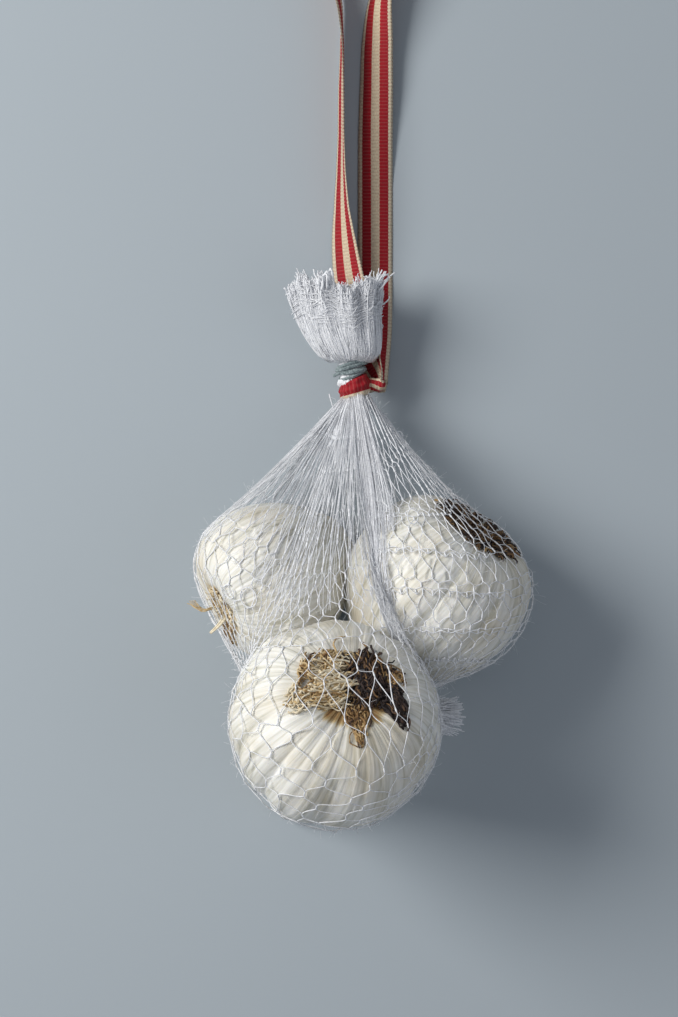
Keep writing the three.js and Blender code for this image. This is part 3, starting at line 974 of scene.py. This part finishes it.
def make_frayed_ends():
    """Cut yarns standing out of the rim in bunches, thicker than the threads of the net."""
    rng = np.random.default_rng(42)
    bunches, yarns = 62, 9
    angle = np.repeat(rng.uniform(0, TURN, bunches), yarns)
    angle = (angle + rng.normal(0, 0.05, len(angle)))[:, None]
    up = np.repeat(rng.uniform(0.82, 0.95, bunches), yarns)[:, None]
    base = tuft_ring(up, angle, 0.90)
    out = unit(tuft_ring(up, angle, 1.0) - tuft_ring(up, angle, 0.5))
    rise = unit(TUFT_TOP - NECK_TOP)
    lean = np.repeat(rng.uniform(-0.1, 0.5, bunches), yarns)[:, None, None]
    t = np.linspace(0, 1, 7)[:, None]
    length = rng.uniform(1.0, 3.0, (len(angle), 1, 1))
    curl = rng.normal(0, 0.55, (len(angle), 1, 3))
    lines = base + length * t * (rise + lean * out) + curl * t**2 + 0.35 * np.sin(
        t * rng.uniform(3, 9, (len(angle), 1, 1))) * rng.normal(0, 0.6, (len(angle), 1, 3))
    radius = rng.uniform(0.12, 0.24, (len(angle), 1)) * (1 - 0.3 * t[:, 0])
    threads_mesh("frayed_yarn_ends", lifted(lines, 0.5), radius, sides=5, **net_finish)


def make_cross_threads():
    """Loose threads that cross the tuft's front in shallow arcs."""
    rng = np.random.default_rng(43)
    count = 46
    middle = np.radians(rng.uniform(20, 165, count))[:, None]
    half = np.radians(rng.uniform(14, 52, count))[:, None]
    t = np.linspace(-1, 1, 22)
    angle = middle + half * t
    up = rng.uniform(0.40, 0.80, count)[:, None] + 0.06 * rng.normal(0, 1, (count, 1)) * t + (
        0.05 * rng.normal(0, 1, (count, 1)) * t**2)
    lines = smoothed(tuft_ring(up, angle, 1.02), 3)
    threads_mesh("tuft_cross_threads", lines, 0.11, sides=4, **net_finish)


# Each bunch: yarns, range of angles in degrees, height of the foot, heading, lengths, radius
YARN_FINGERS = (
    (9, (92, 118), 0.84, (-0.05, 1.0, 0.25), (4.2, 6.6), 0.42),
    (5, (150, 176), 0.88, (-0.25, 1.0, 0.15), (1.6, 2.8), 0.30),
    (8, (8, 30), 0.86, (0.75, 1.0, 0.20), (4.4, 7.2), 0.30),
    (5, (2, 26), 0.62, (0.70, 0.7, 0.10), (2.2, 3.6), 0.20),
)


def make_yarn_fingers():
    """Thick soft yarns that stand out of the rim: a row of fingers at the front left and a
    spray at the right."""
    rng = np.random.default_rng(44)
    t = np.linspace(0, 1, 12)[:, None]
    lines, radii = [], []
    for count, degrees, foot, heading, length, radius in YARN_FINGERS:
        angle = np.radians(rng.uniform(*degrees, count))
        base = tuft_ring(np.full(count, foot), angle, 0.96)
        way = unit(np.array(heading) + rng.normal(0, 0.16, (count, 3)))
        bow = rng.normal(0, 0.55, (count, 3))
        for one in range(count):
            long = rng.uniform(*length)
            lines.append(base[one] + long * t * way[one] + bow[one] * np.sin(np.pi * t)
                         + 0.12 * np.sin(t * rng.uniform(8, 16)))
            radii.append(radius * rng.uniform(0.8, 1.15) * (1 - 0.35 * t[:, 0]))
    threads_mesh("yarn_fingers", np.stack(lines), np.stack(radii), sides=8, plies=0.18,
                 twist=1.6, **net_finish)


make_gathers()
make_tuft()
make_tuft_threads()
make_frayed_ends()
make_cross_threads()
make_yarn_fingers()


# ---- the ties ----

def round_neck(fraction, angle, radius, tilt=0.0):
    """Points at an angle and a distance round the neck, at a fraction of its length; the tilt
    raises the right side."""
    leaning = unit(NECK_LINE + tilt * np.array((-1.0, 0.0, 0.0)))
    ring = around(angle, *axes_about(leaning))
    return along_neck(np.asarray(fraction)[..., None]) + np.asarray(radius)[..., None] * ring


def make_twine():
    """Loose strands of three plies wound round the neck: helices about a helix that wanders
    up, down and off the neck as it goes."""
    t = np.linspace(0, 1, 360)
    plies = []
    for start, turns, low, high, slack, phase in TWINE_STRANDS:
        angle = start + t * turns * TURN
        rise = low + (high - low) * t + 0.42 * np.sin(1.3 * angle + phase)
        radius = NECK_TIED + TWINE_LIFT + slack * (0.6 + 0.5 * np.sin(1.7 * angle + phase))
        # the ends stand away from the neck
        radius = radius + 1.5 * np.exp(-t / 0.015) + 1.3 * np.exp(-(1 - t) / 0.015)
        spine = round_neck(TWINE_MIDDLE + rise / NECK_LENGTH, angle, radius, tilt=TWINE_TILT)
        _, side, up = (d[0] for d in frames_along(spine[None]))
        turn = lengths_along(spine) / TWINE_PLY_LAY * TURN
        for ply in np.arange(3) / 3 * TURN:
            plies.append(spine + TWINE_PLY_OFFSET * around(turn + ply, side, up))
    threads_mesh("twine_windings", np.stack(plies), TWINE_PLY_RADIUS, sides=8, material=TWINE,
                 slot="twine", replaces="twine_tie")


def make_wrap():
    """The ribbon's one turn round the neck, gathered to a roll: its section is a half oval with
    two creases, its lower edge the cream selvedge, and its ends overlap behind."""
    t = np.linspace(0, 1, 240)
    angle = -1.9 + t * (TURN + 0.5)
    h = np.linspace(-0.5, 0.5, 17)
    swell = np.sqrt(np.clip(1 - (2 * h) ** 2, 0, 1))
    section = np.concatenate([h, h[-2:0:-1]])
    outer = np.concatenate([0.15 + WRAP_ROLL * swell, -0.05 + 0 * h[-2:0:-1]])
    face = np.arange(len(section)) < len(h)
    crease = face * WRAP_CREASE * np.sin(2.4 * TURN * section + 2.0 * np.sin(angle)[:, None])
    crease = crease + face * WRAP_RIPPLE * np.sin(9 * angle[:, None] + 5 * section)
    radius = NECK_TIED + 0.1 + outer + crease + 0.5 * t[:, None] ** 6
    height = WRAP_HEIGHT * (1.16 + 0.18 * np.cos(angle)[:, None])
    fraction = WRAP_MIDDLE + section * height / NECK_LENGTH
    rings = round_neck(fraction, angle[:, None] + 0 * section, radius, tilt=WRAP_TILT)
    across = 0.30 - 0.16 * section + 0.20 * smoothstep(-section, 0.22, 0.34) + 0 * angle[:, None]
    along = (angle * NECK_RADIUS)[:, None] + 0 * section
    weave = np.stack([across, along, 0 * along], -1)
    rings_mesh("ribbon_turn", rings, fields={"weave": weave}, replaces="ribbon_wrap",
               **ribbon_finish)


def make_join(name, at, across, heading, angle, reach):
    """A short length of ribbon from an end of the hanging ribbon, against its heading, into the
    turn round the neck at an angle: its width swings to the neck's line and gathers."""
    middle = along_neck(WRAP_MIDDLE)
    spoke = round_neck(WRAP_MIDDLE, np.array(angle), np.array(1.0)) - middle
    line = evenly(spline([at + 1.2 * heading, at, at - 1.1 * heading + 0.3 * spoke,
                          middle + (reach + 1.0) * spoke, middle + reach * spoke], 12), 60)
    t = np.linspace(0, 1, 60)[:, None]
    neck = NECK_LINE * np.sign(NECK_LINE @ across)
    turned = unit(across + (neck - across) * smoothstep(t, 0.15, 0.95))
    ahead = unit(np.gradient(line, axis=0))
    turned = unit(turned - np.sum(turned * ahead, -1, keepdims=True) * ahead)
    width = RIBBON_WIDTH * (0.865 - 0.46 * smoothstep(t[:, 0], 0.0, 0.75))
    ribbon_skin(name, line, turned, np.cross(ahead, turned), 1.9 - 0.9 * t[:, 0], width,
                replaces="ribbon_wrap")


make_twine()
make_wrap()
line, across, _ = ribbon_frames(RIBBON_STEPS)
make_join("ribbon_join_below", line[0], across[0], unit(line[1] - line[0]), -1.25, 3.5)
make_join("ribbon_join_right", line[-1], across[-1], unit(line[-2] - line[-1]), 0.1, 3.9)


# ---- roots ----

def on_bulb(bulb, x, y, lift):
    """Points over a bulb's root end: x to its right and y upwards across the root plate, pushed
    out from the centre to the skin and a lift above it."""
    level = 0.72 * bulb["radius"]
    way = (bulb["root"] * level + bulb["right"] * np.asarray(x)[..., None]
           + bulb["upward"] * np.asarray(y)[..., None])
    angle = np.arctan2(np.hypot(x, y), level)
    far = np.interp(angle, bulb["reach_angle"], bulb["reach"]) + lift
    return bulb["centre"] + unit(way) * far[..., None]


def root_threads(rng, bulb, count, middle, spread, heading, turn, length, lift, crinkle=0.30):
    """Crinkled fibres lying over a root plate: each starts near the middle and runs its length
    along its heading (degrees), rising and falling within the lift."""
    t = np.linspace(0, 1, 9)
    x0 = middle[0] + spread[0] * np.clip(rng.normal(0, 1, (count, 1)), -2.1, 2.1)
    y0 = middle[1] + spread[1] * np.clip(rng.normal(0, 1, (count, 1)), -2.1, 2.1)
    way = np.radians(rng.normal(heading, turn, (count, 1)))
    long = rng.uniform(*length, (count, 1))
    wave = crinkle * np.sin(rng.uniform(5, 13, (count, 1)) * t + rng.uniform(0, 6, (count, 1)))
    bow = rng.normal(0, 0.8, (count, 1)) * np.sin(np.pi * t)
    x = x0 + long * (t - 0.5) * np.cos(way) - (wave + bow) * np.sin(way)
    y = y0 + long * (t - 0.5) * np.sin(way) + (wave + bow) * np.cos(way)
    height = rng.uniform(*lift, (count, 1)) + 0.35 * np.sin(
        rng.uniform(3, 8, (count, 1)) * t + rng.uniform(0, 6, (count, 1)))
    return on_bulb(bulb, x, y, np.maximum(height, 0.1))


def root_piece(name, lines, radius, shade):
    threads_mesh(name, lines, radius, sides=5, fields={"shade": shade}, **root_finish)


# Each batch: count, middle, spread, heading and its spread in degrees, lengths, lifts, shade
FRONT_ROOTS = (
    (300, (-4.8, 2.4), (1.9, 3.1), 8, 15, (2.5, 6.0), (0.3, 1.9), 0.14),
    (40, (-4.6, 8.2), (2.0, 0.7), 20, 30, (2, 4), (0.3, 1.2), 0.30),
    (60, (-13.6, -3.2), (1.5, 1.7), 30, 26, (2, 4.5), (0.2, 1.3), 0.05),
    (46, (-11.2, 5.0), (0.9, 1.9), 105, 18, (2, 4), (0.2, 1.0), 0.42),
    (60, (-8.8, -2.0), (2.0, 1.5), 15, 26, (3, 6), (0.2, 1.2), 0.34),
    # dark stubs on the right: their own dark brown, darkened further as painted shade
    (280, (3.3, 3.7), (2.2, 2.9), 88, 24, (2.5, 5.5), (0.2, 1.9), 0.88),
    (22, (2.0, 5.0), (2.4, 3.2), 80, 24, (3, 6), (1.2, 2.1), 0.62),
    (56, (0.9, -5.6), (1.1, 1.5), 80, 30, (2, 4.5), (0.1, 1.0), 0.55),
    (44, (1.7, -9.4), (0.7, 1.7), 102, 10, (3, 5), (0.1, 0.7), 0.42),
    # the dark wedge: dark brown shards, made nearly black as painted shade of a torn cavity
    (80, (10.2, -1.8), (1.1, 1.5), 128, 12, (3, 6), (0.1, 0.9), 0.92),
    (30, (12.4, -5.2), (0.8, 1.4), 125, 10, (3, 5), (0.1, 0.6), 0.86),
    (36, (10.0, 5.4), (1.1, 0.9), 110, 30, (2, 4), (0.1, 0.7), 0.55),
)


def make_front_roots():
    """The front bulb's roots: a combed straw mat on the left, dark upright stubs on the right,
    a torn pocket below and a dark wedge at the right edge. The stubs and the wedge are dark
    partly from their own dark brown and partly as painted shade of the shaded right side and its
    torn cavity."""
    rng = np.random.default_rng(61)
    lines, shades, radii = [], [], []
    for *batch, shade in FRONT_ROOTS:
        lines.append(root_threads(rng, bulbs["front"], *batch, crinkle=0.20))
        shades.append(np.clip(rng.normal(shade, 0.13, (batch[0], 1)), 0, 1))
        radii.append(rng.uniform(0.16, 0.36, (batch[0], 1)))
    root_piece("front_roots", np.concatenate(lines), np.concatenate(radii),
               np.concatenate(shades))


def make_side_roots(name, bulb, seed, count, reach, shade):
    """A brush of short dry roots all over a root plate, splayed outwards at its rim."""
    rng = np.random.default_rng(seed)
    t = np.linspace(0, 1, 7)
    out = reach * bulb["radius"] * np.sqrt(rng.uniform(0, 1, (count, 1)))
    angle = rng.uniform(0, TURN, (count, 1))
    splay = out / bulb["radius"] * rng.uniform(3.0, 9.0, (count, 1)) * t
    wave = 0.35 * np.sin(rng.uniform(4, 11, (count, 1)) * t + rng.uniform(0, 6, (count, 1)))
    x = (out + splay) * np.cos(angle) + wave
    y = (out + splay) * np.sin(angle) + wave[:, ::-1]
    lift = bulb["pile"] * rng.uniform(0.4, 1.1, (count, 1)) * np.sin(t * np.pi * 0.8) + 0.1
    lines = lifted(on_bulb(bulb, x, y, lift), 0.4)
    shades = np.clip(rng.normal(shade, 0.17, (count, 1)), 0, 1)
    root_piece(name, lines, rng.uniform(0.14, 0.32, (count, 1)), shades)


make_front_roots()
# The right bulb's roots are coloured dark and grey: partly their own brown, partly painted shade
# of the shadow they lie in
make_side_roots("right_roots", bulbs["right"], 62, 360, 0.40, 0.74)
make_side_roots("left_roots", bulbs["left"], 63, 90, 0.26, 0.16)


# ---- the net's gathered far end, stray loops and fuzz ----

def make_far_end():
    """The far end of the net, bunched and frayed: threads that run out of the gather in a
    pleated sheaf and splay."""
    rng = np.random.default_rng(71)
    count = 420
    t = np.linspace(0, 1, 10)[:, None]
    angle = rng.uniform(0, TURN, count)
    spoke = around(angle, *axes_about(NET_GATHER_LINE))[:, None]
    wide = np.sqrt(rng.uniform(0, 1, (count, 1, 1)))
    length = rng.uniform(12.5, 20.0, (count, 1, 1))
    lines = (NET_GATHER - 1.5 * NET_GATHER_LINE + NET_GATHER_LINE * length * t
             + spoke * wide * (2.6 + 2.9 * t**2)
             + rng.normal(0, 0.6, (count, 1, 3)) * t**2
             + 0.25 * np.sin(t * rng.uniform(4, 12, (count, 1, 1))))
    threads_mesh("gathered_far_end", lines, rng.uniform(0.09, 0.2, (count, 1)), sides=4,
                 **net_finish)


def make_left_sprig():
    """A thin tuft of roots of the left bulb that pokes out through the net, a pale flap below
    it and a small brown patch of root stubs."""
    rng = np.random.default_rng(64)
    left = bulbs["left"]
    t = np.linspace(0, 1, 25)[:, None]
    sprig = evenly(spline([(-43.4, -17.6, 31.0), (-45.6, -17.9, 31.8), (-47.6, -17.2, 31.6),
                           (-49.6, -15.6, 31.0)], 8), 25)
    sprigs = np.stack([sprig + rng.normal(0, 0.16, 3) + rng.normal(0, 0.5, 3) * t**2
                       + 0.14 * np.sin(t * rng.uniform(6, 14, 3)) for _ in range(6)])
    flap = evenly(spline([(-40.0, -20.8, 33.4), (-41.4, -22.4, 33.8), (-43.6, -24.4, 33.0)],
                         8), 25)
    flaps = np.stack([flap + rng.normal(0, (0.30, 0.30, 0.2)) * (1 - 0.5 * t)
                      for _ in range(7)])
    stubs = root_threads(rng, left, 60, (3.9, -5.9), (1.1, 2.1), 118, 16, (2, 4.5), (0.2, 1.0))
    stubs = np.stack([evenly(one, 25) for one in stubs])
    lines = np.concatenate([sprigs, flaps, stubs])
    shade = np.concatenate([np.full(6, 0.24), np.full(7, 0.04),
                            rng.uniform(0.25, 0.65, len(stubs))])[:, None]
    radius = np.concatenate([np.full(6, 0.17), np.full(7, 0.34), np.full(len(stubs), 0.2)])
    root_piece("left_sprig", lines, radius[:, None] * (1 - 0.3 * t[:, 0]), shade)


# Each loop: middle, half width, half height, lean, part of a whole turn
SNAGS = (
    ((-31.8, -13.3, 41.0), 2.3, 2.6, 0.3, 1.05), ((-36.4, -11.8, 38.0), 2.0, 1.7, 1.1, 0.9),
    ((10.4, 32.0, 15.5), 1.1, 1.6, -0.5, 0.8), ((13.5, 9.0, 46.0), 1.5, 2.2, 0.8, 0.85),
)


def make_loose_loops():
    """Snagged threads of the net: open loops that stand off it."""
    t = np.linspace(0, 1, 40)[:, None]
    loops = []
    for middle, wide, high, lean, closed in SNAGS:
        angle = lean + closed * TURN * t
        loops.append(np.array(middle) + np.hstack([
            wide * np.cos(angle), high * np.sin(angle), 0.8 * np.sin(0.5 * angle)]))
    stub = spline([(-7.2, 38.4, 13.5), (-8.6, 40.2, 14.2), (-9.4, 42.4, 14.6),
                   (-10.0, 44.6, 14.4)], 13)
    loops.append(stub)
    loops = off_the_bulbs(np.stack([evenly(one, 40) for one in loops]), gap=0.9)
    threads_mesh("snagged_threads", loops, 0.17, sides=5, plies=0.25, twist=2.4, **net_finish)


def make_fuzz():
    """Broken filaments that stand off the net's threads and make it look soft."""
    rng = np.random.default_rng(72)
    count = 3600
    chosen = net_lines[rng.integers(0, len(net_lines), count),
                       rng.integers(1, 9, count)][:, None]
    middle = np.mean([bulb["centre"] for bulb in bulbs.values()], axis=0)
    t = np.linspace(0, 1, 5)[:, None]
    out = unit(unit(chosen - middle) + rng.normal(0, 0.7, (count, 1, 3)))
    length = rng.uniform(0.7, 2.6, (count, 1, 1)) ** 1.2
    lines = chosen + out * length * t + rng.normal(0, 0.7, (count, 1, 3)) * t**2
    threads_mesh("net_fuzz", lifted(lines, 0.2), 0.035, sides=3, **net_finish)


make_far_end()
make_left_sprig()
make_loose_loops()
make_fuzz()
